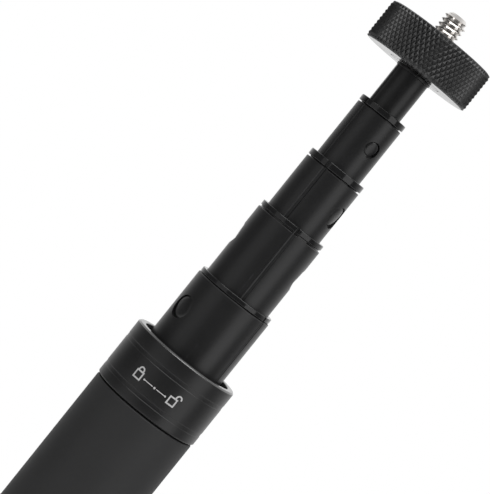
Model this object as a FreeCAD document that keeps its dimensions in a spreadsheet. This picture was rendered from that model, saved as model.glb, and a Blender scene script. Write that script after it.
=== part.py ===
import FreeCAD, Part

import math
import os

import Sketcher

# A telescopic boom pole: a gripped main tube with one twist collar, four nested tubes and a tip rod
# that carries a knurled lock wheel on a threaded stud. It stands upright on its base pad: +Z runs
# towards the tip, -Y is the front, and the origin is the middle of the base. Millimetres and degrees.

DIMENSIONS = [
    # base and grip
    ("pad_radius", 13.6), ("pad_height", 3.0), ("pad_edge", 0.8),
    ("cap_radius", 14.15), ("cap_skirt", 7.0), ("cap_plug_height", 9.0), ("cap_edge", 0.6),
    ("pad_spigot_radius", 6.0), ("pad_spigot_height", 3.0),
    ("grip_radius", 14.15), ("grip_edge", 0.5),
    ("main_radius", 12.5), ("main_bore", 11.6),
    ("collar_place", 300.0), ("end_gap", 0.3),
    # twist lock
    ("collar_radius", 14.35), ("collar_height", 15.85), ("collar_edge", 0.2),
    ("collar_bore", 12.57), ("mouth_radius", 12.45), ("mouth_depth", 5.0), ("lobe_clear_radius", 11.75),
    ("ridge_height", 4.75), ("band_height", 1.15), ("band_depth", 0.12),
    ("upper_band_place", 10.75), ("lower_band_place", 2.5),
    ("lobe_width", 5.0), ("lobe_radius", 11.36), ("lobe_count", 3),
    ("lock_bore", 10.8), ("lock_sleeve_height", 14.0), ("lock_head_height", 5.0),
    ("ring_groove_radius", 11.9), ("ring_place", 1.5), ("ring_height", 0.9),
    ("ring_outer", 13.1), ("ring_gap", 3.0), ("collar_groove_radius", 13.3),
    ("collet_radius", 11.0), ("collet_bore", 10.56), ("collet_height", 9.4),
    ("collet_foot_height", 0.8), ("collet_foot_radius", 12.2), ("collet_slit", 1.2),
    ("collet_pad_radius", 11.12), ("collet_pad_width", 4.0),
    # what the nested sections share
    ("running", 0.05), ("press", 0.02), ("groove_width", 1.2), ("groove_depth", 0.35),
    ("key_width", 1.0), ("key_depth", 0.25), ("lug_gap", 0.2), ("lug_sink", 0.3),
    ("sleeve_height", 14.0), ("flange_edge", 0.2), ("notch_width", 0.8), ("notch_depth", 0.3),
    ("slider_place", 3.0), ("slider_height", 13.0),
    ("drag_place", 0.4), ("drag_height", 2.3), ("drag_edge", 0.3),
    ("plug_flange", 1.5), ("plug_height", 3.0), ("plug_side_gap", 0.25),
    # tip
    ("rod_radius", 4.55), ("rod_bore", 3.75), ("rod_length", 281.4), ("rod_reach", 10.57),
    ("rod_key_angle", -64.0),
    ("insert_ring_radius", 4.8), ("insert_ring_height", 0.7), ("insert_depth", 16.0),
    ("stud_radius", 3.175), ("stud_shank_radius", 3.0), ("stud_depth", 12.0), ("stud_edge", 1.2),
    ("stud_above_wheel", 6.46), ("shank_above_wheel", 0.1),
    ("wheel_radius", 14.7), ("wheel_height", 10.38), ("wheel_edge", 0.4), ("wheel_bore", 3.24),
    ("wheel_seat_gap", 0.1),
    ("washer_radius", 7.0), ("washer_height", 1.0), ("washer_pocket_radius", 7.2),
    ("washer_pocket_height", 1.1), ("washer_bore", 3.3),
]

# Each nested tube from the largest inwards: radius and bore, length, how far its end stands above the
# rim around it, neck and flange of its guide bush, its lugs, and the angle of its lengthwise key groove.
# Angles run from the front towards the right.
SECTIONS = {
    "tube_2": {
        "radius": 10.5, "bore": 9.7, "length": 294.0, "reach": 17.85,
        "neck_radius": 9.85, "neck_height": 0.23, "flange_radius": 10.3, "flange_height": 1.21,
        "lug_radius": 3.1, "lug_drop": 8.9, "lug_angle": -54.0, "key_angle": 59.0,
    },
    "tube_3": {
        "radius": 9.15, "bore": 8.4, "length": 290.8, "reach": 19.55,
        "neck_radius": 8.68, "neck_height": 0.5, "flange_radius": 9.04, "flange_height": 1.3,
        "lug_radius": 3.0, "lug_drop": 8.4, "lug_angle": 90.0, "key_angle": 10.0,
    },
    "tube_4": {
        "radius": 7.75, "bore": 7.05, "length": 287.9, "reach": 14.77,
        "neck_radius": 7.0, "neck_height": 0.35, "flange_radius": 7.8, "flange_height": 1.69,
        "lug_radius": 3.0, "lug_drop": 7.65, "lug_angle": 67.0, "key_angle": -19.0,
    },
    "tube_5": {
        "radius": 6.35, "bore": 5.7, "length": 284.88, "reach": 15.5,
        "neck_radius": 5.6, "neck_height": 0.32, "flange_radius": 6.46, "flange_height": 1.51,
        "lug_radius": 2.1, "lug_drop": 7.43, "lug_angle": 34.5, "key_angle": -47.0,
    },
}

doc = FreeCAD.newDocument("boom_pole")
sheet = doc.addObject("Spreadsheet::Sheet", "Dims")
finished = []


def fill_sheet():
    """Every driving dimension gets a row: its name, its value, and an alias that formulas use."""
    rows = list(DIMENSIONS)
    for name, sizes in SECTIONS.items():
        rows += [(f"{name}_{key}", size) for key, size in sizes.items()]
    for row, (alias, size) in enumerate(rows, start=1):
        sheet.set(f"A{row}", alias)
        sheet.set(f"B{row}", str(size))
        sheet.setAlias(f"B{row}", alias)
    doc.recompute()


def dim(alias):
    """The value of one cell."""
    return float(getattr(sheet, alias))


def formula(text):
    """Turn words that are cell names into references to the sheet."""
    words = text.replace("(", " ( ").replace(")", " ) ").split()
    return " ".join(f"Dims.{word}" if word[0].isalpha() else word for word in words)


def direction(angle):
    """The level unit vector at an angle from the front towards the right."""
    turn = math.radians(angle)
    return FreeCAD.Vector(math.sin(turn), -math.cos(turn), 0)


def turned(name, profile):
    """A body made on a lathe: profile lists (radius, height) formulas in order round the section."""
    body = doc.addObject("PartDesign::Body", name + "_turned")
    sketch = body.newObject("Sketcher::SketchObject", name + "_profile")
    plane = next(item for item in body.Origin.OriginFeatures if item.Role == "XZ_Plane")
    sketch.AttachmentSupport = [(plane, "")]
    sketch.MapMode = "FlatFace"
    corners = [
        FreeCAD.Vector(evaluate(radius), evaluate(height), 0) for radius, height in profile
    ]
    for start, end in zip(corners, corners[1:] + corners[:1]):
        sketch.addGeometry(Part.LineSegment(start, end), False)
    count = len(corners)
    for index in range(count):
        sketch.addConstraint(Sketcher.Constraint("Coincident", index, 2, (index + 1) % count, 1))
    for index, texts in enumerate(profile):
        pin_corner(sketch, index, corners[index], texts)
    lathe = body.newObject("PartDesign::Revolution", name + "_revolved")
    lathe.Profile = sketch
    lathe.ReferenceAxis = (sketch, ["V_Axis"])
    lathe.Angle = 360
    sketch.Visibility = False
    doc.recompute()
    return body


def pin_corner(sketch, index, corner, texts):
    """Tie one corner of a profile to its two formulas, or to the axis where a value is zero."""
    for kind, along, text, axis in (
        ("DistanceX", corner.x, texts[0], -2),
        ("DistanceY", corner.y, texts[1], -1),
    ):
        if abs(along) < 1e-9:
            sketch.addConstraint(Sketcher.Constraint("PointOnObject", index, 1, axis))
            continue
        number = sketch.addConstraint(Sketcher.Constraint(kind, -1, 1, index, 1, along))
        sketch.setExpression(f"Constraints[{number}]", formula(text))


def evaluate(text):
    """A formula's value, for placing a sketch's first points."""
    return float(sheet.evalExpression(formula(text).replace("Dims.", "")))


def cylinder(name, radius, height, base=(0, 0, 0), towards=(0, 0, 1)):
    """A cylinder whose radius and height follow the sheet."""
    rod = doc.addObject("Part::Cylinder", name)
    rod.setExpression("Radius", formula(radius))
    rod.setExpression("Height", formula(height))
    turn = FreeCAD.Rotation(FreeCAD.Vector(0, 0, 1), FreeCAD.Vector(*towards))
    rod.Placement = FreeCAD.Placement(FreeCAD.Vector(*base), turn)
    return rod


def cross_bar(name, radius, reach, angle, height):
    """A round bar right across the axis, its ends at plus and minus reach."""
    way = direction(angle)
    base = way * -evaluate(reach)
    base.z = height
    return cylinder(name, radius, f"2 * ({reach})", tuple(base), tuple(way))


def radial_block(name, width, inner, outer, height, angle, base=0.0):
    """A block from an inner to an outer radius, pointing along an angle."""
    block = doc.addObject("Part::Box", name)
    block.setExpression("Length", formula(f"({outer}) - ({inner})"))
    block.setExpression("Width", formula(width))
    block.setExpression("Height", formula(height))
    way = direction(angle)
    side = FreeCAD.Vector(-way.y, way.x, 0)
    corner = way * evaluate(inner) - side * (evaluate(width) / 2)
    corner.z = base
    block.Placement = FreeCAD.Placement(corner, FreeCAD.Rotation(FreeCAD.Vector(1, 0, 0), way))
    return block


def cut(name, base, *tools):
    """base without any of the tools."""
    result = base
    for number, tool in enumerate(tools, start=1):
        step = doc.addObject("Part::Cut", f"{name}_cut_{number}")
        step.Base = result
        step.Tool = tool
        result = step
    return result


def fuse(name, *pieces):
    """The pieces as one solid."""
    joined = doc.addObject("Part::MultiFuse", name + "_fused")
    joined.Shapes = list(pieces)
    return joined


def common(name, first, second):
    """What two solids share."""
    shared = doc.addObject("Part::MultiCommon", name + "_common")
    shared.Shapes = [first, second]
    return shared


def finish(name, solid, height=0.0):
    """Name a sub-part, set it at its height on the axis, and keep it for writing."""
    solid.Label = name
    solid.Placement = FreeCAD.Placement(FreeCAD.Vector(0, 0, height), FreeCAD.Rotation())
    finished.append(solid)


def ring_profile(inner, outer, low, high):
    """A plain rectangular section."""
    return [(inner, low), (outer, low), (outer, high), (inner, high)]


def base_parts():
    """The rubber pad and the cap that closes the main tube."""
    finish("base_pad", turned("base_pad", [
        ("0", "0"),
        ("pad_radius - pad_edge", "0"),
        ("pad_radius", "pad_edge"),
        ("pad_radius", "pad_height"),
        ("pad_spigot_radius", "pad_height"),
        ("pad_spigot_radius", "pad_height + pad_spigot_height"),
        ("0", "pad_height + pad_spigot_height"),
    ]))
    finish("base_cap", turned("base_cap", [
        ("0", "pad_spigot_height"),
        ("pad_spigot_radius", "pad_spigot_height"),
        ("pad_spigot_radius", "0"),
        ("cap_radius - cap_edge", "0"),
        ("cap_radius", "cap_edge"),
        ("cap_radius", "cap_skirt"),
        ("main_bore - press", "cap_skirt"),
        ("main_bore - press", "cap_skirt + cap_plug_height"),
        ("0", "cap_skirt + cap_plug_height"),
    ]), dim("pad_height"))


def grip_parts():
    """The main tube and the soft sleeve on it, between the base cap and the collar."""
    bottom = dim("pad_height") + dim("cap_skirt")
    tube_height = "collar_place - pad_height - cap_skirt"
    tube_profile = ring_profile("main_bore", "main_radius", "0", tube_height)
    finish("main_tube", turned("main_tube", tube_profile), bottom)
    sleeve_top = f"{tube_height} - end_gap"
    finish("grip_sleeve", turned("grip_sleeve", [
        ("main_radius", "0"),
        ("grip_radius", "0"),
        ("grip_radius", f"{sleeve_top} - grip_edge"),
        ("grip_radius - grip_edge", sleeve_top),
        ("main_radius", sleeve_top),
    ]), bottom)


def lock_collar():
    """The twist collar: it turns on the lock head, with a ring groove, cam lobes and an open mouth."""
    ridge = "collar_height - mouth_depth"
    bands = [
        (edge, place)
        for low in ("lower_band_place", "upper_band_place")
        for edge, place in (
            ("collar_radius", low),
            ("collar_radius - band_depth", f"{low} + band_depth"),
            ("collar_radius - band_depth", f"{low} + band_height - band_depth"),
            ("collar_radius", f"{low} + band_height"),
        )
    ]
    shell = turned("lock_collar", [
        ("collar_bore", "0"),
        ("collar_radius - collar_edge", "0"),
        ("collar_radius", "collar_edge"),
        *bands,
        ("collar_radius", "collar_height - collar_edge"),
        ("collar_radius - collar_edge", "collar_height"),
        ("mouth_radius + collar_edge", "collar_height"),
        ("mouth_radius", "collar_height - collar_edge"),
        ("mouth_radius", ridge),
        ("lobe_clear_radius", ridge),
        ("lobe_clear_radius", f"{ridge} - ridge_height"),
        ("collet_foot_radius + end_gap", f"{ridge} - ridge_height"),
        ("collet_foot_radius + end_gap", "lock_head_height + end_gap"),
        ("collar_bore", "lock_head_height + end_gap"),
        ("collar_bore", "ring_place + ring_height + running"),
        ("collar_groove_radius", "ring_place + ring_height + running"),
        ("collar_groove_radius", "ring_place - running"),
        ("collar_bore", "ring_place - running"),
    ])
    low = evaluate(f"{ridge} - ridge_height")
    count = int(dim("lobe_count"))
    lobes = [
        radial_block(
            f"collar_lobe_{number}", "lobe_width", "lobe_radius", "lobe_clear_radius + 1",
            "ridge_height", number * 360 / count, low,
        )
        for number in range(count)
    ]
    finish("lock_collar", fuse("lock_collar", shell, *lobes), dim("collar_place"))


def lock_head():
    """The fixed keyed sleeve in the main tube's end, and the ring that holds the collar on it."""
    low = "collar_place - lock_sleeve_height"
    top = "collar_place + lock_head_height"
    groove_low = "collar_place + ring_place"
    groove_high = "collar_place + ring_place + ring_height"
    sleeve = turned("lock_head", [
        ("lock_bore", low),
        ("main_bore - press", low),
        ("main_bore - press", "collar_place"),
        ("main_radius", "collar_place"),
        ("main_radius", groove_low),
        ("ring_groove_radius", groove_low),
        ("ring_groove_radius", groove_high),
        ("main_radius", groove_high),
        ("main_radius", top),
        ("lock_bore", top),
    ])
    key = radial_block(
        "lock_head_key", "key_width", "tube_2_radius - key_depth", "lock_bore + running",
        "lock_sleeve_height + lock_head_height", dim("tube_2_key_angle"), evaluate(low),
    )
    finish("lock_head", fuse("lock_head", sleeve, key))
    ring = turned("collar_ring", ring_profile(
        "ring_groove_radius + running", "ring_outer", "running", "ring_height - running"))
    gap = radial_block(
        "collar_ring_gap", "ring_gap", "ring_groove_radius - 1", "ring_outer + 1", "ring_height", 180,
    )
    finish("collar_ring", cut("collar_ring", ring, gap), evaluate(groove_low))


def collet():
    """The split clamping sleeve round the largest sliding tube, with a pad under each cam lobe."""
    sleeve = turned("collet", [
        ("collet_bore", "0"),
        ("collet_foot_radius", "0"),
        ("collet_foot_radius", "collet_foot_height"),
        ("collet_radius", "collet_foot_height"),
        ("collet_radius", "collet_height"),
        ("collet_bore", "collet_height"),
    ])
    count = int(dim("lobe_count"))
    pads = [
        radial_block(
            f"collet_pad_{number}", "collet_pad_width", "collet_bore + 2 * running", "collet_pad_radius",
            "ridge_height - end_gap", number * 360 / count, dim("collet_foot_height"),
        )
        for number in range(count)
    ]
    slits = [
        radial_block(
            f"collet_slit_{number}", "collet_slit", "collet_bore - 1", "collet_foot_radius + 1",
            "collet_height + 2", (number + 0.5) * 360 / count, dim("collet_foot_height") if number else -1.0,
        )
        for number in range(count)
    ]
    bore = cylinder("collet_bore_tool", "collet_bore", "collet_height")
    padded = fuse("collet", sleeve, *pads)
    finish("collet", cut("collet", padded, bore, *slits), evaluate("collar_place + lock_head_height"))


def nested_tube(name, place):
    """One sliding tube, with its key groove and the two holes that its bush's lugs snap into."""
    wall = turned(name, ring_profile(f"{name}_bore", f"{name}_radius", "0", f"{name}_length"))
    groove = radial_block(
        f"{name}_groove", "groove_width", f"{name}_radius - groove_depth", f"{name}_radius + 1",
        f"{name}_length", dim(f"{name}_key_angle"),
    )
    holes = cross_bar(
        f"{name}_lug_holes", f"{name}_lug_radius", f"{name}_radius + 1",
        dim(f"{name}_lug_angle"), evaluate(f"{name}_length - {name}_lug_drop"),
    )
    finish(name, cut(name, wall, groove, holes), place)


def guide_bush(name, next_name, place):
    """The bush in a tube's end: a flanged sleeve with two snap lugs, bored and keyed for the next section."""
    neck_top = f"sleeve_height + {name}_neck_height"
    top = f"{neck_top} + {name}_flange_height"
    solid = turned(f"{name}_bush", [
        ("0", "0"),
        (f"{name}_bore - press", "0"),
        (f"{name}_bore - press", "sleeve_height"),
        (f"{name}_neck_radius", "sleeve_height"),
        (f"{name}_neck_radius", neck_top),
        (f"{name}_flange_radius", neck_top),
        (f"{name}_flange_radius", f"{top} - flange_edge"),
        (f"{name}_flange_radius - flange_edge", top),
        ("0", top),
    ])
    bar = cross_bar(
        f"{name}_lug_bar", f"{name}_lug_radius - lug_gap", f"{name}_radius",
        dim(f"{name}_lug_angle"), evaluate(f"sleeve_height - {name}_lug_drop"),
    )
    core = cylinder(f"{name}_lug_core", f"{name}_radius - lug_sink", top)
    bore = cylinder(f"{name}_bush_bore", f"{next_name}_radius + running", top)
    notch = radial_block(
        f"{name}_notch", "notch_width", f"{name}_flange_radius - notch_depth", f"{name}_flange_radius + 1",
        f"{name}_flange_height + 1", dim(f"{name}_key_angle"), evaluate(neck_top),
    )
    key = radial_block(
        f"{name}_key", "key_width", f"{next_name}_radius - key_depth", f"{next_name}_radius + 3 * running",
        "sleeve_height", dim(f"{next_name}_key_angle"),
    )
    lugged = fuse(f"{name}_lugged", solid, common(f"{name}_lugs", bar, core))
    bored = cut(f"{name}_bush", lugged, bore, notch)
    finish(f"{name}_bush", fuse(f"{name}_bush", bored, key), place)


def sliding_foot(name, outer_bore, place):
    """What a section carries at its lower end: a slider, a drag ring under it, and a flanged plug."""
    reach = f"{outer_bore} - running"
    wall = f"{name}_radius + press"
    finish(f"{name}_slider", turned(f"{name}_slider", ring_profile(wall, reach, "0", "slider_height")),
           place + dim("slider_place"))
    crown = f"{outer_bore} - press"
    finish(f"{name}_drag_ring", turned(f"{name}_drag_ring", [
        (wall, "0"),
        (f"{crown} - drag_edge", "0"),
        (crown, "drag_edge"),
        (crown, "drag_height - drag_edge"),
        (f"{crown} - drag_edge", "drag_height"),
        (wall, "drag_height"),
    ]), place + dim("drag_place"))
    finish(f"{name}_plug", turned(f"{name}_plug", [
        ("0", "0"),
        (f"{outer_bore} - plug_side_gap", "0"),
        (f"{outer_bore} - plug_side_gap", "plug_flange"),
        (f"{name}_bore - press", "plug_flange"),
        (f"{name}_bore - press", "plug_flange + plug_height"),
        ("0", "plug_flange + plug_height"),
    ]), place - dim("plug_flange"))


def tip_parts(end):
    """The tip rod, its insert with the stud in it, and the lock wheel with its captive washer."""
    rod = turned("rod", ring_profile("rod_bore", "rod_radius", "0", "rod_length"))
    groove = radial_block(
        "rod_groove", "groove_width", "rod_radius - groove_depth", "rod_radius + 1",
        "rod_length", dim("rod_key_angle"),
    )
    finish("rod", cut("rod", rod, groove), end - dim("rod_length"))
    ring_top = "insert_depth + insert_ring_height"
    finish("tip_insert", turned("tip_insert", [
        ("0", "0"),
        ("rod_bore - press", "0"),
        ("rod_bore - press", "insert_depth"),
        ("insert_ring_radius", "insert_depth"),
        ("insert_ring_radius", ring_top),
        ("stud_shank_radius + press", ring_top),
        ("stud_shank_radius + press", f"{ring_top} - stud_depth"),
        ("0", f"{ring_top} - stud_depth"),
    ]), end - dim("insert_depth"))
    wheel_top = "stud_depth + wheel_seat_gap + wheel_height"
    shank_top = f"{wheel_top} + shank_above_wheel"
    stud_length = f"{wheel_top} + stud_above_wheel"
    finish("stud", turned("stud", [
        ("0", "0"),
        ("stud_shank_radius", "0"),
        ("stud_shank_radius", shank_top),
        ("stud_radius", shank_top),
        ("stud_radius", f"{stud_length} - stud_edge"),
        ("stud_radius - stud_edge", stud_length),
        ("0", stud_length),
    ]), end + dim("insert_ring_height") - dim("stud_depth"))
    seat = end + dim("insert_ring_height") + dim("wheel_seat_gap")
    finish("lock_wheel", turned("lock_wheel", [
        ("washer_pocket_radius", "0"),
        ("wheel_radius - wheel_edge", "0"),
        ("wheel_radius", "wheel_edge"),
        ("wheel_radius", "wheel_height - wheel_edge"),
        ("wheel_radius - wheel_edge", "wheel_height"),
        ("wheel_bore", "wheel_height"),
        ("wheel_bore", "washer_pocket_height"),
        ("washer_pocket_radius", "washer_pocket_height"),
    ]), seat)
    finish("wheel_washer", turned("wheel_washer", ring_profile(
        "washer_bore", "washer_radius", "0", "washer_height")), seat)


def sliding_sections():
    """The nested tubes from the largest inwards, each standing its reach above the rim round it."""
    rim = evaluate("collar_place + collar_height")
    names = list(SECTIONS) + ["rod"]
    outer_bore = "main_bore"
    for name, next_name in zip(names, names[1:]):
        end = rim + dim(f"{name}_reach")
        bottom = end - dim(f"{name}_length")
        nested_tube(name, bottom)
        guide_bush(name, next_name, end - dim("sleeve_height"))
        sliding_foot(name, outer_bore, bottom)
        rim = end + evaluate(f"{name}_neck_height + {name}_flange_height")
        outer_bore = f"{name}_bore"
    end = rim + dim("rod_reach")
    sliding_foot("rod", outer_bore, end - dim("rod_length"))
    tip_parts(end)


def check_and_write():
    """Stop on anything that failed to build, then write each sub-part to its own file."""
    doc.recompute()
    failed = [item.Name for item in doc.Objects if "Invalid" in item.State or "Error" in item.State]
    failed += [item.Label for item in finished if item.Shape.isNull() or not item.Shape.isValid()]
    if failed:
        raise RuntimeError("not built: " + ", ".join(failed))
    os.makedirs("parts", exist_ok=True)
    for item in finished:
        item.Shape.exportStep(os.path.join("parts", item.Label + ".step"))
        box = item.Shape.BoundBox
        print(f"{item.Label:20s} z {box.ZMin:8.2f} .. {box.ZMax:8.2f}  solids {len(item.Shape.Solids)}"
              f"  volume {item.Shape.Volume:10.1f}")


fill_sheet()
base_parts()
grip_parts()
lock_head()
collet()
lock_collar()
sliding_sections()
check_and_write()
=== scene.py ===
import math
import bmesh
import bpy
from mathutils import Matrix, Vector


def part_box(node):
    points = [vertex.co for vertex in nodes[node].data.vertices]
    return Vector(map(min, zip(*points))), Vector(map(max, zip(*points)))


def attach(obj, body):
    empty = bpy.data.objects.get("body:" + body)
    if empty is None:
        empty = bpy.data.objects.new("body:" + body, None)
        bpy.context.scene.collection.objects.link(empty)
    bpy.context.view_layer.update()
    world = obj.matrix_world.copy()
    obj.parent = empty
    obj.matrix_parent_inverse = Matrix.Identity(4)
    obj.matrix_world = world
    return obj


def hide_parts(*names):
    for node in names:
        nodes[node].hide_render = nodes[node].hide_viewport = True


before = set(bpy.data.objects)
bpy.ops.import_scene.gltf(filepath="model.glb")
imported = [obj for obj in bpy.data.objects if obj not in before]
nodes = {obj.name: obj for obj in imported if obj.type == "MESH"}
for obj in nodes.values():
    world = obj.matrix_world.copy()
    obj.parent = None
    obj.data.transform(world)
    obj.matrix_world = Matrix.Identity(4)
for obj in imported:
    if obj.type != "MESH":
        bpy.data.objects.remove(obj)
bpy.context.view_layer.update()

mm = 0.001
fullTurn = 2 * math.pi
weld, sliver = 0.0001, 0.001  # in mm: points this close are one, faces this narrow go
materials = {}


def low(node):
    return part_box(node)[0].z / mm


def high(node):
    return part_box(node)[1].z / mm


def radiusOf(node):
    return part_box(node)[1].x / mm


def newMaterial(name):
    material = bpy.data.materials.new(name)
    material.use_nodes = True
    materials[name] = material
    tree = material.node_tree
    return tree, tree.nodes["Principled BSDF"]


def addNode(tree, kind, values=None, **settings):
    node = tree.nodes.new(kind)
    for key, value in settings.items():
        setattr(node, key, value)
    for key, value in (values or {}).items():
        node.inputs[key].default_value = value
    return node


def newGroup(name, inputs, outputs):
    group = bpy.data.node_groups.new(name, "ShaderNodeTree")
    for label, kind, value in inputs:
        socket = group.interface.new_socket(label, in_out="INPUT", socket_type=kind)
        socket.default_value = value
    for label, kind in outputs:
        group.interface.new_socket(label, in_out="OUTPUT", socket_type=kind)
    return group, group.nodes.new("NodeGroupInput"), group.nodes.new("NodeGroupOutput")


def addGroup(tree, group, values):
    node = tree.nodes.new("ShaderNodeGroup")
    node.node_tree = group
    for key, value in values.items():
        node.inputs[key].default_value = value
    return node


def makeFineGrain():
    # fine moulded or blasted grain with broad cloudy variation, in object space
    group, given, out = newGroup(
        "fineGrain",
        [
            ("Vector", "NodeSocketVector", (0, 0, 0)),
            ("Grain Scale", "NodeSocketFloat", 4000.0),
            ("Cloud Scale", "NodeSocketFloat", 60.0),
            ("Cloud Amount", "NodeSocketFloat", 0.3),
        ],
        [("Height", "NodeSocketFloat"), ("Cloud", "NodeSocketFloat")],
    )
    link = group.links.new
    grain = addNode(group, "ShaderNodeTexNoise", {"Detail": 3.0, "Roughness": 0.6})
    cloud = addNode(group, "ShaderNodeTexNoise", {"Detail": 4.0, "Roughness": 0.55})
    link(given.outputs["Vector"], grain.inputs["Vector"])
    link(given.outputs["Vector"], cloud.inputs["Vector"])
    link(given.outputs["Grain Scale"], grain.inputs["Scale"])
    link(given.outputs["Cloud Scale"], cloud.inputs["Scale"])
    centred = addNode(group, "ShaderNodeMath", {1: 0.5}, operation="SUBTRACT")
    weighed = addNode(group, "ShaderNodeMath", operation="MULTIPLY")
    lifted = addNode(group, "ShaderNodeMath", {1: 0.5}, operation="ADD")
    link(cloud.outputs["Fac"], centred.inputs[0])
    link(centred.outputs[0], weighed.inputs[0])
    link(given.outputs["Cloud Amount"], weighed.inputs[1])
    link(weighed.outputs[0], lifted.inputs[0])
    link(grain.outputs["Fac"], out.inputs["Height"])
    link(lifted.outputs[0], out.inputs["Cloud"])
    return group


def makeDrawnLines():
    # very fine lines along the pole, as a drawn and anodised tube has
    group, given, out = newGroup(
        "drawnLines",
        [
            ("Vector", "NodeSocketVector", (0, 0, 0)),
            ("Across", "NodeSocketFloat", 2600.0),
            ("Along", "NodeSocketFloat", 14.0),
        ],
        [("Height", "NodeSocketFloat")],
    )
    link = group.links.new
    parts = addNode(group, "ShaderNodeSeparateXYZ")
    joined = addNode(group, "ShaderNodeCombineXYZ")
    link(given.outputs["Vector"], parts.inputs[0])
    for axis, factor in (("X", "Across"), ("Y", "Across"), ("Z", "Along")):
        scaled = addNode(group, "ShaderNodeMath", operation="MULTIPLY")
        link(parts.outputs[axis], scaled.inputs[0])
        link(given.outputs[factor], scaled.inputs[1])
        link(scaled.outputs[0], joined.inputs[axis])
    lines = addNode(group, "ShaderNodeTexNoise", {"Scale": 1.0, "Detail": 2.0, "Roughness": 0.5})
    link(joined.outputs[0], lines.inputs["Vector"])
    link(lines.outputs["Fac"], out.inputs["Height"])
    return group


def makeLatheRings():
    # concentric turning marks about the pole's axis
    group, given, out = newGroup(
        "latheRings",
        [("Vector", "NodeSocketVector", (0, 0, 0)), ("Pitch Scale", "NodeSocketFloat", 9000.0)],
        [("Height", "NodeSocketFloat")],
    )
    link = group.links.new
    flat = addNode(group, "ShaderNodeVectorMath", {1: (1, 1, 0)}, operation="MULTIPLY")
    length = addNode(group, "ShaderNodeVectorMath", operation="LENGTH")
    scaled = addNode(group, "ShaderNodeMath", operation="MULTIPLY")
    noise = addNode(group, "ShaderNodeTexNoise", {"Scale": 1.0, "Detail": 2.0}, noise_dimensions="1D")
    link(given.outputs["Vector"], flat.inputs[0])
    link(flat.outputs[0], length.inputs[0])
    link(length.outputs["Value"], scaled.inputs[0])
    link(given.outputs["Pitch Scale"], scaled.inputs[1])
    link(scaled.outputs[0], noise.inputs["W"])
    link(noise.outputs["Fac"], out.inputs["Height"])
    return group


def makeWearAndEdgeHighlight():
    # lighter on sharp convex edges, broken up by a patchy mask: edge wear together with a painted edge
    # highlight
    group, given, out = newGroup(
        "wearAndEdgeHighlight",
        [
            ("Pointiness", "NodeSocketFloat", 0.5),
            ("Vector", "NodeSocketVector", (0, 0, 0)),
            ("Start", "NodeSocketFloat", 0.53),
            ("End", "NodeSocketFloat", 0.62),
            ("Patch Scale", "NodeSocketFloat", 350.0),
        ],
        [("Wear And Highlight", "NodeSocketFloat")],
    )
    link = group.links.new
    ramp = addNode(group, "ShaderNodeMapRange")
    patches = addNode(group, "ShaderNodeTexNoise", {"Detail": 4.0, "Roughness": 0.6})
    mask = addNode(group, "ShaderNodeMapRange", {"From Min": 0.4, "From Max": 0.62})
    both = addNode(group, "ShaderNodeMath", operation="MULTIPLY")
    link(given.outputs["Pointiness"], ramp.inputs["Value"])
    link(given.outputs["Start"], ramp.inputs["From Min"])
    link(given.outputs["End"], ramp.inputs["From Max"])
    link(given.outputs["Vector"], patches.inputs["Vector"])
    link(given.outputs["Patch Scale"], patches.inputs["Scale"])
    link(patches.outputs["Fac"], mask.inputs["Value"])
    link(ramp.outputs["Result"], both.inputs[0])
    link(mask.outputs["Result"], both.inputs[1])
    link(both.outputs[0], out.inputs["Wear And Highlight"])
    return group


groups = {
    "grain": makeFineGrain(),
    "lines": makeDrawnLines(),
    "rings": makeLatheRings(),
    "wearAndHighlight": makeWearAndEdgeHighlight(),
}
print("groups ready")


def surface(name, dark, light, roughness, spread, grain, metallic=0.0, pattern=None, edgeWearAndHighlight=None, **shader):
    # dark and light are the ends of the colour's slow variation, grain is (scale, strength, distance in mm),
    # and the last argument gives where the lighter edge colour starts and ends on an edge, and that colour:
    # edge wear together with a painted edge highlight
    tree, bsdf = newMaterial(name)
    link = tree.links.new
    place = addNode(tree, "ShaderNodeTexCoord")
    fine = addGroup(tree, groups["grain"], {"Grain Scale": grain[0], "Cloud Amount": 1.0})
    link(place.outputs["Object"], fine.inputs["Vector"])
    colour = addNode(tree, "ShaderNodeMix", data_type="RGBA")
    colour.inputs["A"].default_value = (*dark, 1)
    colour.inputs["B"].default_value = (*light, 1)
    link(fine.outputs["Cloud"], colour.inputs["Factor"])
    tint = colour.outputs["Result"]
    rough = addNode(tree, "ShaderNodeMapRange", {
        "From Min": 0.3, "From Max": 0.7, "To Min": roughness - spread, "To Max": roughness + spread})
    link(fine.outputs["Cloud"], rough.inputs["Value"])
    height = fine.outputs["Height"]
    if pattern:
        marks = addGroup(tree, groups[pattern], {})
        link(place.outputs["Object"], marks.inputs["Vector"])
        height = marks.outputs["Height"]
    # painted edge highlight together with edge wear: sharp convex edges get a lighter colour
    if edgeWearAndHighlight:
        geometry = addNode(tree, "ShaderNodeNewGeometry")
        wearAndHighlight = addGroup(tree, groups["wearAndHighlight"], {"Start": edgeWearAndHighlight[0], "End": edgeWearAndHighlight[1]})
        link(geometry.outputs["Pointiness"], wearAndHighlight.inputs["Pointiness"])
        link(place.outputs["Object"], wearAndHighlight.inputs["Vector"])
        wornAndHighlitTint = addNode(tree, "ShaderNodeMix", data_type="RGBA")
        wornAndHighlitTint.inputs["B"].default_value = (*edgeWearAndHighlight[2], 1)
        link(tint, wornAndHighlitTint.inputs["A"])
        link(wearAndHighlight.outputs["Wear And Highlight"], wornAndHighlitTint.inputs["Factor"])
        tint = wornAndHighlitTint.outputs["Result"]
    bump = addNode(tree, "ShaderNodeBump", {"Strength": grain[1], "Distance": grain[2] * mm})
    link(height, bump.inputs["Height"])
    link(bump.outputs["Normal"], bsdf.inputs["Normal"])
    link(tint, bsdf.inputs["Base Color"])
    link(rough.outputs["Result"], bsdf.inputs["Roughness"])
    bsdf.inputs["Metallic"].default_value = metallic
    for key, value in shader.items():
        bsdf.inputs[key.replace("_", " ")].default_value = value


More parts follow.
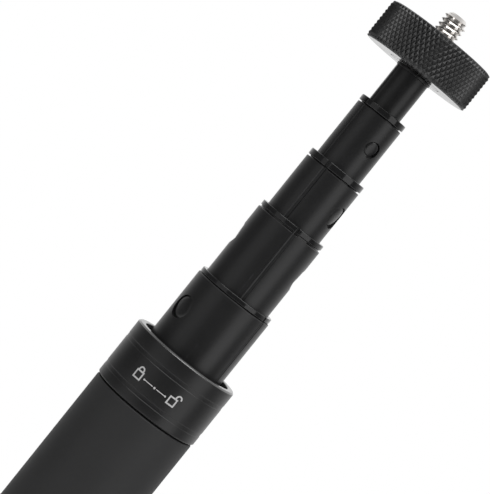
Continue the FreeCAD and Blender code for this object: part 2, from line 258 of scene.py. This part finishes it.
surface("gripRubber", (0.010, 0.010, 0.0105), (0.0135, 0.0135, 0.014), 0.62, 0.05, (5200, 0.25, 0.03))
surface("padRubber", (0.012, 0.012, 0.012), (0.018, 0.018, 0.018), 0.7, 0.06, (3800, 0.3, 0.04))
surface("capPlastic", (0.010, 0.010, 0.0105), (0.014, 0.014, 0.0145), 0.5, 0.05, (4200, 0.3, 0.03))
surface("collarBlack", (0.0050, 0.0050, 0.0053), (0.0075, 0.0075, 0.0078), 0.36, 0.03, (6500, 0.12, 0.02))
surface("collarRim", (0.10, 0.10, 0.10), (0.16, 0.16, 0.16), 0.2, 0.03, (6500, 0.06, 0.01), metallic=0.8)
# the tubes' lighter edge colour is edge wear together with a painted edge highlight
surface("tubeBlack", (0.0060, 0.0060, 0.0063), (0.0090, 0.0090, 0.0094), 0.36, 0.04, (6500, 0.1, 0.02),
        pattern="lines", edgeWearAndHighlight=(0.55, 0.68, (0.04, 0.04, 0.042)))
surface("bushPlastic", (0.006, 0.006, 0.0063), (0.009, 0.009, 0.0094), 0.13, 0.03, (5000, 0.06, 0.01))
surface("lugPlastic", (0.006, 0.006, 0.0063), (0.009, 0.009, 0.0094), 0.3, 0.04, (5000, 0.1, 0.02))
# the wheel's lighter knurl tips and edges are edge wear together with a painted highlight
surface("wheelBlack", (0.0050, 0.0050, 0.0052), (0.008, 0.008, 0.0083), 0.3, 0.05, (6000, 0.1, 0.02),
        edgeWearAndHighlight=(0.53, 0.63, (0.14, 0.14, 0.14)))
surface("wheelFace", (0.0060, 0.0060, 0.0062), (0.009, 0.009, 0.0093), 0.15, 0.03, (6000, 0.08, 0.02),
        pattern="rings")
surface("stainless", (0.66, 0.63, 0.60), (0.84, 0.82, 0.80), 0.13, 0.05, (7000, 0.12, 0.02), metallic=1.0)
surface("springSteel", (0.38, 0.38, 0.39), (0.5, 0.5, 0.5), 0.3, 0.05, (6000, 0.1, 0.02), metallic=1.0)
surface("dragFelt", (0.02, 0.02, 0.02), (0.05, 0.05, 0.05), 0.9, 0.05, (3000, 0.6, 0.1), Sheen_Weight=0.5)
surface("innerPlastic", (0.02, 0.02, 0.02), (0.028, 0.028, 0.028), 0.45, 0.05, (4000, 0.2, 0.03))
surface("washerNylon", (0.012, 0.012, 0.012), (0.02, 0.02, 0.02), 0.17, 0.03, (3000, 0.08, 0.02))
surface("signPrint", (0.44, 0.44, 0.44), (0.56, 0.56, 0.56), 0.55, 0.04, (6000, 0.15, 0.01))
print("materials ready", len(materials))


def lathe(bm, profile, steps, closed=True):
    corners = [bm.verts.new((r, 0, z)) for r, z in profile]
    pairs = list(zip(corners, corners[1:]))
    if closed:
        pairs.append((corners[-1], corners[0]))
    edges = [bm.edges.new(pair) for pair in pairs]
    bmesh.ops.spin(bm, geom=corners + edges, cent=(0, 0, 0), axis=(0, 0, 1), dvec=(0, 0, 0),
                   angle=fullTurn, steps=steps, use_merge=True, use_duplicate=False)
    bmesh.ops.remove_doubles(bm, verts=bm.verts, dist=weld)
    bmesh.ops.recalc_face_normals(bm, faces=bm.faces)


def dropSlivers(bm):
    # bevels that meet and boolean cuts leave faces with no width
    bmesh.ops.remove_doubles(bm, verts=bm.verts, dist=sliver)
    bmesh.ops.dissolve_degenerate(bm, dist=sliver, edges=bm.edges)


def softenRings(bm, width, segments=3, angle=25, above=-1.0):
    # rounds the turned edges, and leaves the joints between facets alone
    sharp = [e for e in bm.edges if len(e.link_faces) == 2 and e.calc_face_angle(0) > math.radians(angle)
             and e.verts[0].co.z > above]
    bmesh.ops.bevel(bm, geom=sharp, offset=width, offset_type="OFFSET", affect="EDGES",
                    segments=segments, profile=0.5, material=-1, clamp_overlap=True)
    dropSlivers(bm)


def alongAngle(angle):
    turn = math.radians(angle)
    return Vector((math.sin(turn), -math.cos(turn), 0))


def finishPiece(name, bm, material, body, replaced=(), smoothAngle=35, extra=()):
    bmesh.ops.scale(bm, vec=(mm, mm, mm), verts=bm.verts)
    bm.normal_update()
    for edge in bm.edges:
        edge.smooth = edge.calc_face_angle(0) < math.radians(smoothAngle)
    for face in bm.faces:
        face.smooth = True
    mesh = bpy.data.meshes.new(name)
    bm.to_mesh(mesh)
    bm.free()
    for finish in (material, *extra):
        mesh.materials.append(materials[finish])
    piece = bpy.data.objects.new(name, mesh)
    bpy.context.scene.collection.objects.link(piece)
    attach(piece, body)
    if replaced:
        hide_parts(*replaced)


def cutWith(bm, cutters):
    # the cutters are taken away by modifiers on a scratch object, and the result read back into the bmesh
    mesh = bpy.data.meshes.new("scratch")
    bm.to_mesh(mesh)
    scratch = bpy.data.objects.new("scratch", mesh)
    bpy.context.scene.collection.objects.link(scratch)
    tools = []
    for cutter in cutters:
        toolMesh = bpy.data.meshes.new("scratchTool")
        cutter.to_mesh(toolMesh)
        cutter.free()
        tool = bpy.data.objects.new("scratchTool", toolMesh)
        bpy.context.scene.collection.objects.link(tool)
        tools.append(tool)
        boolean = scratch.modifiers.new("cut", "BOOLEAN")
        boolean.operation = "DIFFERENCE"
        boolean.object = tool
        boolean.solver = "EXACT"
    bpy.context.view_layer.update()
    result = scratch.evaluated_get(bpy.context.evaluated_depsgraph_get()).to_mesh()
    bm.clear()
    bm.from_mesh(result)
    for item in (scratch, *tools):
        itemMesh = item.data
        bpy.data.objects.remove(item)
        bpy.data.meshes.remove(itemMesh)
    dropSlivers(bm)


def rodBetween(radius, start, end, sides):
    # a closed cylinder from one point to another
    bm = bmesh.new()
    way = end - start
    turn = way.to_track_quat("Z", "Y").to_matrix().to_4x4()
    place = Matrix.Translation((start + end) / 2) @ turn
    bmesh.ops.create_cone(bm, cap_ends=True, segments=sides, radius1=radius, radius2=radius,
                          depth=way.length, matrix=place)
    return bm


padShape = {
    "edge": 0.8, "height": 3.0, "hollow": 0.4, "hollowInner": 0.55, "hollowOuter": 0.6,
    "spigot": 6.0, "spigotHeight": 3.0, "round": 0.25, "sides": 128,
}


def makeBasePad():
    s = padShape
    bm = bmesh.new()
    r, bottom, top = radiusOf("base_pad"), low("base_pad"), low("base_pad") + s["height"]
    lathe(bm, [(0, bottom + s["hollow"]), (r * s["hollowInner"], bottom + s["hollow"]),
               (r * s["hollowOuter"], bottom), (r - s["edge"], bottom), (r, bottom + s["edge"]), (r, top),
               (s["spigot"], top), (s["spigot"], top + s["spigotHeight"]),
               (0, top + s["spigotHeight"])], s["sides"], closed=False)
    softenRings(bm, s["round"])
    finishPiece("basePad", bm, "padRubber", "grip", ["base_pad"])


capShape = {
    "edge": 0.6, "skirt": 7.0, "skirtEdge": 0.25, "wall": 0.92, "round": 0.15,
    "recess": 6.0, "recessDepth": 3.0, "sides": 128,
}


def makeBaseCap():
    s = capShape
    bm = bmesh.new()
    r, bottom, top = radiusOf("base_cap"), low("base_cap"), high("base_cap")
    plug = radiusOf("main_tube") - s["wall"]
    lathe(bm, [(0, bottom + s["recessDepth"]), (s["recess"], bottom + s["recessDepth"]),
               (s["recess"], bottom), (r - s["edge"], bottom), (r, bottom + s["edge"]),
               (r, bottom + s["skirt"] - s["skirtEdge"]), (r - s["skirtEdge"], bottom + s["skirt"]),
               (plug, bottom + s["skirt"]), (plug, top), (0, top)], s["sides"], closed=False)
    softenRings(bm, s["round"])
    finishPiece("baseCap", bm, "capPlastic", "grip", ["base_cap"])


gripShape = {"wall": 1.65, "edge": 0.3, "round": 0.12, "sides": 160}


def makeGrip():
    s = gripShape
    bm = bmesh.new()
    r, bottom, top = radiusOf("grip_sleeve"), low("grip_sleeve"), high("grip_sleeve")
    inner = r - s["wall"]
    lathe(bm, [(inner, bottom), (r - s["edge"] / 2, bottom), (r, bottom + s["edge"] / 2),
               (r, top - s["edge"]), (r - s["edge"], top), (inner, top)], s["sides"])
    softenRings(bm, s["round"])
    finishPiece("gripSleeve", bm, "gripRubber", "grip", ["grip_sleeve"])


collarShape = {
    "edge": 0.15, "footEdge": 0.3, "rimEdge": 0.4, "rimSlope": 0.5, "mouth": 12.45, "mouthDepth": 5.0,
    "throat": 11.75, "throatHeight": 4.75,
    "bands": (2.5, 10.75), "bandHeight": 1.15, "bandDepth": 0.07, "bore": 12.57, "cavity": 12.5,
    "headHeight": 5.3, "round": 0.06, "sides": 192,
}


def makeCollar():
    s = collarShape
    bm = bmesh.new()
    r, bottom, top = radiusOf("lock_collar"), low("lock_collar"), high("lock_collar")
    bands = []
    for place in s["bands"]:
        foot = bottom + place
        bands += [(r, foot), (r - s["bandDepth"], foot + s["bandDepth"]),
                  (r - s["bandDepth"], foot + s["bandHeight"] - s["bandDepth"]), (r, foot + s["bandHeight"])]
    shoulder = top - s["mouthDepth"]
    lathe(bm, [(s["bore"], bottom), (r - s["footEdge"], bottom), (r, bottom + s["footEdge"]), *bands,
               (r, top - s["rimEdge"]), (r - s["rimEdge"], top), (s["mouth"] + s["edge"], top),
               (s["mouth"], top - s["edge"]), (s["mouth"], shoulder), (s["throat"], shoulder),
               (s["throat"], shoulder - s["throatHeight"]), (s["cavity"], shoulder - s["throatHeight"]),
               (s["cavity"], bottom + s["headHeight"]), (s["bore"], bottom + s["headHeight"])], s["sides"])
    softenRings(bm, s["round"], angle=20)
    for face in bm.faces:
        if face.normal.z > s["rimSlope"] and face.calc_center_median().z > top - s["rimEdge"]:
            face.material_index = 1
    finishPiece("twistCollar", bm, "collarBlack", "collar", ["lock_collar"],
                extra=["collarRim"])


tubeShapes = {
    "tube_2": {"bore": 9.7, "groove": 59, "lug": 3.1, "lugAngle": -54, "lugDrop": 8.9},
    "tube_3": {"bore": 8.4, "groove": 10, "lug": 3.0, "lugAngle": 90, "lugDrop": 8.4},
    "tube_4": {"bore": 7.05, "groove": -19, "lug": 3.0, "lugAngle": 67, "lugDrop": 7.65},
    "tube_5": {"bore": 5.7, "groove": -47, "lug": 2.1, "lugAngle": 34.5, "lugDrop": 7.43},
    "rod": {"bore": 3.75, "groove": -64},
}
tubeShared = {"edge": 0.12, "rowHeight": 0.7, "rows": 20, "sides": 144, "holeSides": 64, "over": 1.0}
grooveCut = {"width": 1.2, "depth": 0.35, "sides": 32}


def makeTube(name, body):
    s, shared = tubeShapes[name], tubeShared
    bm = bmesh.new()
    r, bottom, top = radiusOf(name), low(name), high(name)
    edge, over = shared["edge"], Vector((0, 0, shared["over"]))
    # short rows of faces round the lug holes, from the lowest up
    rows = [top - edge - k * shared["rowHeight"] for k in range(1, shared["rows"])][::-1]
    lathe(bm, [(s["bore"], bottom), (r - edge, bottom), (r, bottom + edge), *[(r, z) for z in rows],
               (r, top - edge), (r - edge, top), (s["bore"], top)], shared["sides"])
    half, depth = grooveCut["width"] / 2, grooveCut["depth"]
    cutRadius = (half * half + depth * depth) / (2 * depth)
    centre = alongAngle(s["groove"]) * (r - depth + cutRadius)
    cutters = [rodBetween(cutRadius, centre + Vector((0, 0, bottom)) - over,
                          centre + Vector((0, 0, top)) + over, grooveCut["sides"])]
    if "lug" in s:
        way = alongAngle(s["lugAngle"]) * (r + shared["over"])
        middle = Vector((0, 0, top - s["lugDrop"]))
        cutters.append(rodBetween(s["lug"], middle - way, middle + way, shared["holeSides"]))
    cutWith(bm, cutters)
    finishPiece(name + "Wall", bm, "tubeBlack", body, [name], smoothAngle=28)


bushShapes = {
    "tube_2": {"neck": 9.85, "neckHeight": 0.23, "flange": 10.3},
    "tube_3": {"neck": 8.68, "neckHeight": 0.5, "flange": 9.04},
    "tube_4": {"neck": 7.0, "neckHeight": 0.35, "flange": 7.8},
    "tube_5": {"neck": 5.6, "neckHeight": 0.32, "flange": 6.46},
}
bushShared = {
    "running": 0.05, "press": 0.02, "round": 0.2, "roundMargin": 0.02, "notchWidth": 0.8, "sides": 144,
    "lugGap": 0.15, "lugSink": 0.15, "lugRamp": 0.5, "lugRound": 0.22, "lugBack": 0.1, "lugBlank": 1.0,
    "lugRings": 4, "lugCore": 1.5, "lugSides": 48,
}


def makeBush(name, nextName, body):
    s, shared, tube = bushShapes[name], bushShared, tubeShapes[name]
    bm = bmesh.new()
    node = name + "_bush"
    top = high(node)
    end = high(name)
    bore = radiusOf(nextName) + shared["running"]
    outer = tube["bore"] - shared["press"]
    lathe(bm, [(bore, low(node)), (outer, low(node)), (outer, end), (s["neck"], end),
               (s["neck"], end + s["neckHeight"]), (s["flange"], end + s["neckHeight"]),
               (s["flange"], top), (bore, top)], shared["sides"])
    softenRings(bm, shared["round"], segments=4, above=end + s["neckHeight"] - shared["roundMargin"])
    edge = alongAngle(tube["groove"]) * s["flange"]
    notch = rodBetween(shared["notchWidth"] / 2, edge + Vector((0, 0, end)),
                       edge + Vector((0, 0, top + s["neckHeight"])), grooveCut["sides"])
    cutWith(bm, [notch])
    addLugs(bm, tube, radiusOf(name), bore, end)
    finishPiece(name + "Bush", bm, "bushPlastic", body, [node], extra=["lugPlastic"])


def addLugs(bm, tube, r, bore, end):
    # two round snap lugs: a face curved like the tube, ramped towards its foot, with a rounded edge,
    # and a back that curves round the bore so that it clears the tube inside
    shared = bushShared
    size = tube["lug"] - shared["lugGap"]
    for side in (0, 180):
        lug = bmesh.new()
        bmesh.ops.create_cone(lug, cap_ends=True, segments=shared["lugSides"], radius1=size, radius2=size,
                              depth=shared["lugBlank"])
        caps = [f for f in lug.faces if len(f.verts) > 4]
        for _ in range(shared["lugRings"]):
            bmesh.ops.inset_region(lug, faces=caps, thickness=size / (shared["lugRings"] + shared["lugCore"]))
        for v in lug.verts:
            rim = max(0.0, math.hypot(v.co.x, v.co.y) - size + shared["lugRound"])
            drop = shared["lugRound"] - math.sqrt(max(0.0, shared["lugRound"] ** 2 - rim ** 2))
            ramp = shared["lugRamp"] * ((1 - v.co.y / size) / 2) ** 2
            face = r - shared["lugSink"] - ramp if v.co.z > 0 else bore + shared["lugBack"]
            v.co.z = math.sqrt(face ** 2 - v.co.x ** 2) - (drop if v.co.z > 0 else 0)
        # the cone's Z becomes the way out of the pole, its Y the pole's axis
        way = alongAngle(tube["lugAngle"] + side)
        across = Vector((0, 0, 1)).cross(way)
        turn = Matrix((across, Vector((0, 0, 1)), way)).transposed().to_4x4()
        place = Matrix.Translation((0, 0, end - tube["lugDrop"])) @ turn
        bmesh.ops.transform(lug, matrix=place, verts=lug.verts)
        bmesh.ops.recalc_face_normals(lug, faces=lug.faces)
        for facet in lug.faces:
            facet.material_index = 1
        piece = bpy.data.meshes.new("lug")
        lug.to_mesh(piece)
        lug.free()
        bm.from_mesh(piece)
        bpy.data.meshes.remove(piece)


studShape = {
    "pitch": 1.27, "crest": 0.16, "depth": 0.69, "foot": 0.1, "edge": 1.2, "start": 1.2, "steps": 40,
    "spareTurns": 3, "cutMargin": 1e-5,
}


def makeStud():
    s = studShape
    bm = bmesh.new()
    r, bottom, top = radiusOf("stud"), low("stud"), high("stud")
    root = r - s["depth"]
    p = s["pitch"]
    turns = int((top - bottom) / p) + s["spareTurns"]
    foot, crest = s["foot"] * p, s["crest"] / 2
    points = [(root, 0), (root, foot), (r, p / 2 - crest), (r, p / 2 + crest), (root, p - foot), (root, p)]
    base = bottom - s["start"] * p
    corners = [bm.verts.new((radius, 0, base + z)) for radius, z in points]
    edges = [bm.edges.new(pair) for pair in zip(corners, corners[1:])]
    steps = s["steps"] * turns
    bmesh.ops.spin(bm, geom=corners + edges, cent=(0, 0, 0), axis=(0, 0, 1),
                   dvec=(0, 0, p / s["steps"]), angle=fullTurn * turns, steps=steps,
                   use_merge=False, use_duplicate=False)
    bmesh.ops.remove_doubles(bm, verts=bm.verts, dist=sliver)
    for height, normal in ((bottom, (0, 0, -1)), (top, (0, 0, 1))):
        bmesh.ops.bisect_plane(bm, geom=bm.verts[:] + bm.edges[:] + bm.faces[:], dist=s["cutMargin"],
                               plane_co=(0, 0, height), plane_no=normal, clear_outer=True)
        rim = [e for e in bm.edges if e.is_boundary and all(abs(v.co.z - height) < sliver for v in e.verts)]
        bmesh.ops.edgeloop_fill(bm, edges=rim)
    for v in bm.verts:  # the end is a cone
        allowed = r - s["edge"] + (top - v.co.z)
        away = math.hypot(v.co.x, v.co.y)
        if away > allowed:
            v.co.x *= allowed / away
            v.co.y *= allowed / away
    bmesh.ops.recalc_face_normals(bm, faces=bm.faces)
    finishPiece("tipStud", bm, "stainless", "tip", ["stud"], smoothAngle=32)


wheelShape = {
    "round": 68, "cells": 5, "depth": 0.42, "tip": 0.02, "endTip": 0.18, "endDrop": 0.2, "notch": 0.34,
    "edge": 0.3, "faceRings": (0.75, 0.5), "hole": 3.24, "holeEdge": 0.5, "pocket": 7.2, "pocketDepth": 1.1,
}


def pushOut(verts, radius):
    # sets the distance from the pole's axis
    for v in verts:
        away = math.hypot(v.co.x, v.co.y)
        v.co.x *= radius / away
        v.co.y *= radius / away


def makeWheel():
    s = wheelShape
    bm = bmesh.new()
    r, bottom, top = radiusOf("lock_wheel"), low("lock_wheel"), high("lock_wheel")
    valley = r - s["depth"]
    tall = top - bottom
    bmesh.ops.create_cone(bm, cap_ends=False, segments=s["round"], radius1=valley, radius2=valley, depth=tall,
                          matrix=Matrix.Translation((0, 0, (top + bottom) / 2)))
    upright = [e for e in bm.edges if abs(e.verts[0].co.z - e.verts[1].co.z) > tall / 2]
    bmesh.ops.subdivide_edges(bm, edges=upright, cuts=s["cells"] - 1, use_grid_fill=True)
    # cells are poked, and the grid between them taken out, which leaves diamonds to be peaked
    grid = [e for e in bm.edges if not e.is_boundary]
    bmesh.ops.poke(bm, faces=bm.faces, offset=0, center_mode="MEAN")
    pushOut(bm.verts, valley)
    bmesh.ops.dissolve_edges(bm, edges=grid, use_verts=False)
    diamonds = [f for f in bm.faces if len(f.verts) == 4]
    pushOut(bmesh.ops.poke(bm, faces=diamonds, offset=0, center_mode="MEAN")["verts"], r - s["tip"])
    bmesh.ops.subdivide_edges(bm, edges=[e for e in bm.edges if e.is_boundary], cuts=1)
    inward = valley * (1 + math.cos(math.pi / s["round"])) / 2  # the new middles lie nearer the axis
    rimVerts = [v for v in bm.verts if v.is_boundary]
    ends = [v for v in rimVerts if math.hypot(v.co.x, v.co.y) < inward]
    across = {v for end in ends for f in end.link_faces for v in f.verts if not v.is_boundary}
    bmesh.ops.connect_verts(bm, verts=[*ends, *across])
    for v in rimVerts:
        drop = s["notch"] if math.hypot(v.co.x, v.co.y) > inward else s["endDrop"]
        v.co.z += drop if v.co.z < top - tall / 2 else -drop
    pushOut(ends, r - s["endTip"])
    bmesh.ops.recalc_face_normals(bm, faces=bm.faces)
    addWheelFaces(bm, valley, bottom, top)
    finishPiece("lockWheel", bm, "wheelBlack", "wheel", ["lock_wheel"],
                smoothAngle=20, extra=["wheelFace"])


def extrudeRing(bm, edges, radius, height, slot):
    # one more ring of faces from an open rim, which gives the new rim
    made = bmesh.ops.extrude_edge_only(bm, edges=edges)["geom"]
    fresh = [g for g in made if isinstance(g, bmesh.types.BMVert)]
    pushOut(fresh, radius)
    for v in fresh:
        v.co.z = height
    for g in made:
        if isinstance(g, bmesh.types.BMFace):
            g.material_index = slot
    return [g for g in made if isinstance(g, bmesh.types.BMEdge) and g.is_boundary]


def addWheelFaces(bm, valley, bottom, top):
    # the two faces, the hole and the washer pocket, all from the open rims
    s = wheelShape
    middle = (top + bottom) / 2
    rims = [e for e in bm.edges if e.is_boundary]
    upper = [e for e in rims if e.verts[0].co.z > middle]
    lower = [e for e in rims if e.verts[0].co.z < middle]
    shoulder = bottom + s["pocketDepth"]
    upper = extrudeRing(bm, upper, valley - s["edge"], top, 0)
    for share in s["faceRings"]:
        upper = extrudeRing(bm, upper, valley * share, top, 1)
    for radius, height in ((s["hole"] + s["holeEdge"], top), (s["hole"], top - s["holeEdge"]),
                           (s["hole"], shoulder), (s["pocket"], shoulder), (s["pocket"], bottom)):
        upper = extrudeRing(bm, upper, radius, height, 1)
    lower = extrudeRing(bm, lower, valley - s["edge"], bottom, 0)
    for radius in (valley * s["faceRings"][0], s["pocket"]):
        lower = extrudeRing(bm, lower, radius, bottom, 1)
    bmesh.ops.remove_doubles(bm, verts=bm.verts, dist=sliver)
    bmesh.ops.recalc_face_normals(bm, faces=bm.faces)


insertShape = {"ring": 4.8, "rod": 3.73, "hole": 3.2, "depth": 12.0, "round": 0.08, "sides": 96}


def makeInsert():
    s = insertShape
    bm = bmesh.new()
    bottom, top = low("tip_insert"), high("tip_insert")
    end = high("rod")
    lathe(bm, [(0, bottom), (s["rod"], bottom), (s["rod"], end), (s["ring"], end), (s["ring"], top),
               (s["hole"], top), (s["hole"], top - s["depth"]), (0, top - s["depth"])],
          s["sides"], closed=False)
    softenRings(bm, s["round"])
    finishPiece("tipInsert", bm, "collarBlack", "tip", ["tip_insert"])


signShape = {
    "angle": -5.5, "height": 6.65, "spacing": 5.13, "body": (2.3, 2.26), "stroke": 0.37, "bowWidth": 1.7,
    "bowHeight": 1.05, "openShift": 1.1, "openLift": 0.1, "lineFrom": 0.55, "lineTo": 3.15, "lineWidth": 0.2,
    "linePieces": 6, "hook": 0.6, "dot": 0.28, "endDot": 0.24, "steps": 16, "dotSides": 16,
    "proud": 0.015, "sink": 0.01,
}


def flatRing(bm, outer, inner):
    # two loops of points, bridged to a flat ring
    loops = []
    for loop in (outer, inner):
        points = [bm.verts.new((x, y, 0)) for x, y in loop]
        loops += [bm.edges.new(pair) for pair in zip(points, points[1:] + points[:1])]
    bmesh.ops.bridge_loops(bm, edges=loops)


def flatDisc(bm, x, y, radius):
    bmesh.ops.create_circle(bm, cap_ends=True, segments=signShape["dotSides"], radius=radius,
                            matrix=Matrix.Translation((x, y, 0)))


def flatPatch(bm, x, y, wide, tall, pieces=1):
    bmesh.ops.create_grid(bm, x_segments=pieces, y_segments=1, size=0.5, matrix=Matrix.Translation((x, y, 0))
                          @ Matrix.Diagonal((wide, tall, 1, 1)))


def flatBow(bm, x, y, radius, width, fromAngle, toAngle):
    # the round part of a padlock's bow is a short edge spun part of a turn
    ends = [bm.verts.new((x + reach * math.cos(fromAngle), y + reach * math.sin(fromAngle), 0))
            for reach in (radius - width / 2, radius + width / 2)]
    edge = bm.edges.new(ends)
    bmesh.ops.spin(bm, geom=[*ends, edge], cent=(x, y, 0), axis=(0, 0, 1), dvec=(0, 0, 0),
                   angle=toAngle - fromAngle, steps=signShape["steps"], use_merge=False, use_duplicate=False)


def padlock(bm, x, opened):
    s = signShape
    wide, tall = s["body"]
    stroke = s["stroke"]
    corners = ((-1, -1), (0, -1), (1, -1), (1, 1), (0, 1), (-1, 1))
    outer = [(x + a * wide / 2, b * tall / 2) for a, b in corners]
    inner = [(x + a * (wide / 2 - stroke), b * (tall / 2 - stroke)) for a, b in corners]
    flatRing(bm, outer, inner)
    reach = (s["bowWidth"] - stroke) / 2
    middle = x + (s["openShift"] if opened else 0)
    leg = s["bowHeight"] - s["bowWidth"] / 2
    foot = tall / 2
    centre = foot + leg + (s["openLift"] if opened else 0)
    flatBow(bm, middle, centre, reach, stroke, 0, math.pi)
    legs = {-reach: foot}
    legs[reach] = centre - leg * s["hook"] if opened else foot
    for side, start in legs.items():
        flatPatch(bm, middle + side, (start + centre) / 2, stroke, centre - start)


def makeSigns():
    s = signShape
    bm = bmesh.new()
    padlock(bm, -s["spacing"], False)
    padlock(bm, s["spacing"], True)
    lineEnd = s["lineTo"] - s["endDot"]
    for side in (-1, 1):
        flatPatch(bm, side * (s["lineFrom"] + lineEnd) / 2, 0, lineEnd - s["lineFrom"], s["lineWidth"],
                  s["linePieces"])
        flatDisc(bm, side * s["lineTo"], 0, s["endDot"])
    flatDisc(bm, 0, 0, s["dot"])
    bmesh.ops.remove_doubles(bm, verts=bm.verts, dist=sliver)
    bmesh.ops.recalc_face_normals(bm, faces=bm.faces)
    for face in bm.faces:
        if face.normal.z < 0:
            face.normal_flip()
    r = radiusOf("lock_collar")
    place = low("lock_collar") + s["height"]
    made = bmesh.ops.extrude_face_region(bm, geom=bm.faces[:])["geom"]
    for v in bm.verts:
        v.co.z = 0.0
    for g in made:
        if isinstance(g, bmesh.types.BMVert):
            g.co.z = s["proud"] + s["sink"]
    for v in bm.verts:  # the flat signs are wrapped round the collar
        way = alongAngle(s["angle"] + math.degrees(v.co.x / r))
        v.co = way * (r - s["sink"] + v.co.z) + Vector((0, 0, place + v.co.y))
    bmesh.ops.recalc_face_normals(bm, faces=bm.faces)
    finishPiece("lockSigns", bm, "signPrint", "collar")


keptFinish = {
    "main_tube": "tubeBlack", "lock_head": "innerPlastic", "collar_ring": "springSteel",
    "collet": "bushPlastic", "wheel_washer": "washerNylon",
}


def finishKept():
    for name, node in nodes.items():
        finish = keptFinish.get(name)
        if name.endswith("_drag_ring"):
            finish = "dragFelt"
        if name.endswith("_slider") or name.endswith("_plug"):
            finish = "innerPlastic"
        if finish:
            node.data.materials.clear()
            node.data.materials.append(materials[finish])


makeBasePad()
makeBaseCap()
makeGrip()
print("base and grip done")
makeCollar()
makeSigns()
print("collar done")
bodyOf = {
    "tube_2": "section_2", "tube_3": "section_3", "tube_4": "section_4", "tube_5": "section_5", "rod": "tip",
}
sections = list(bodyOf)
for name in sections:
    makeTube(name, bodyOf[name])
for name, nextName in zip(sections, sections[1:]):
    makeBush(name, nextName, bodyOf[name])
print("sections done")
makeInsert()
makeStud()
makeWheel()
print("tip done")
finishKept()


stageLook = {
    "floorSize": 1.6, "floorSides": 96, "floorColour": (0.86, 0.86, 0.86, 1), "floorRoughness": 0.8,
    "skyFront": 0.14, "skyBack": 1.0, "skyFrom": 0.15, "skyTo": 0.95, "skyWay": (0.15, 1.0, 0.5),
}


def makeStage():
    s = stageLook
    bm = bmesh.new()
    bmesh.ops.create_circle(bm, cap_ends=True, segments=s["floorSides"], radius=s["floorSize"] / 2)
    mesh = bpy.data.meshes.new("floor")
    bm.to_mesh(mesh)
    bm.free()
    floor = bpy.data.objects.new("floor", mesh)
    bpy.context.scene.collection.objects.link(floor)
    bsdf = newMaterial("floorPaper")[1]
    bsdf.inputs["Base Color"].default_value = s["floorColour"]
    bsdf.inputs["Roughness"].default_value = s["floorRoughness"]
    mesh.materials.append(materials["floorPaper"])
    world = bpy.data.worlds.new("softRoom")
    bpy.context.scene.world = world
    world.use_nodes = True
    tree = world.node_tree
    link = tree.links.new
    # dimmer behind the camera than behind the pole, and plain white where the camera looks
    background = tree.nodes["Background"]
    place = addNode(tree, "ShaderNodeTexCoord")
    away = addNode(tree, "ShaderNodeVectorMath", {1: s["skyWay"]}, operation="DOT_PRODUCT")
    ramp = addNode(tree, "ShaderNodeMapRange", {
        "From Min": s["skyFrom"], "From Max": s["skyTo"], "To Min": s["skyFront"], "To Max": s["skyBack"]})
    path = addNode(tree, "ShaderNodeLightPath")
    seen = addNode(tree, "ShaderNodeMix", {"B": 1.0}, data_type="FLOAT")
    link(place.outputs["Generated"], away.inputs[0])
    link(away.outputs["Value"], ramp.inputs["Value"])
    link(ramp.outputs["Result"], seen.inputs["A"])
    link(path.outputs["Is Camera Ray"], seen.inputs["Factor"])
    link(seen.outputs["Result"], background.inputs["Strength"])
    background.inputs["Color"].default_value = (1, 1, 1, 1)


softboxes = {
    # angle from the front towards the right, distance, height above the collar, width, length, watts
    "rightBox": (55, 0.9, 0.05, 0.60, 0.9, 1.8),
    "leftBox": (-45, 0.9, 0.05, 0.65, 0.9, 0.65),
    "topBox": (6, 0.45, 0.9, 1.8, 0.6, 13.0),
}


def makeLights():
    middle = Vector((0, 0, high("lock_collar") * mm))
    for name, (angle, distance, lift, wide, tall, watts) in softboxes.items():
        light = bpy.data.lights.new(name, "AREA")
        light.shape = "RECTANGLE"
        light.size = wide
        light.size_y = tall
        light.energy = watts
        lamp = bpy.data.objects.new(name, light)
        bpy.context.scene.collection.objects.link(lamp)
        lamp.location = middle + alongAngle(angle) * distance + Vector((0, 0, lift))
        lamp.rotation_mode = "QUATERNION"
        lamp.rotation_quaternion = (middle - lamp.location).to_track_quat("-Z", "Y")


cameraSetup = {
    # lengths in mm, angles in degrees
    "aside": -5.50, "aboveCollar": 44.74, "distance": 560.0, "above": 2.79, "roll": 38.76, "lens": 171.7,
    "nearest": 10.0,
}


def makeCamera():
    s = cameraSetup
    camera = bpy.data.objects.new("camera", bpy.data.cameras.new("camera"))
    bpy.context.scene.collection.objects.link(camera)
    camera.data.lens = s["lens"]
    camera.data.clip_start = s["nearest"] * mm
    tilt, roll = math.radians(s["above"]), math.radians(s["roll"])
    target = Vector((s["aside"], 0, low("lock_collar") + s["aboveCollar"])) * mm
    back = Vector((0, -math.cos(tilt), math.sin(tilt)))
    camera.location = target + back * s["distance"] * mm
    levelUp = Vector((0, math.sin(tilt), math.cos(tilt)))
    right = Vector((1, 0, 0)) * math.cos(roll) + levelUp * math.sin(roll)
    up = levelUp * math.cos(roll) - Vector((1, 0, 0)) * math.sin(roll)
    camera.rotation_mode = "QUATERNION"
    camera.rotation_quaternion = Matrix((right, up, back)).transposed().to_quaternion()
    bpy.context.scene.camera = camera


makeStage()
makeLights()
makeCamera()
bpy.context.scene.view_settings.view_transform = "Standard"
print("stage ready")
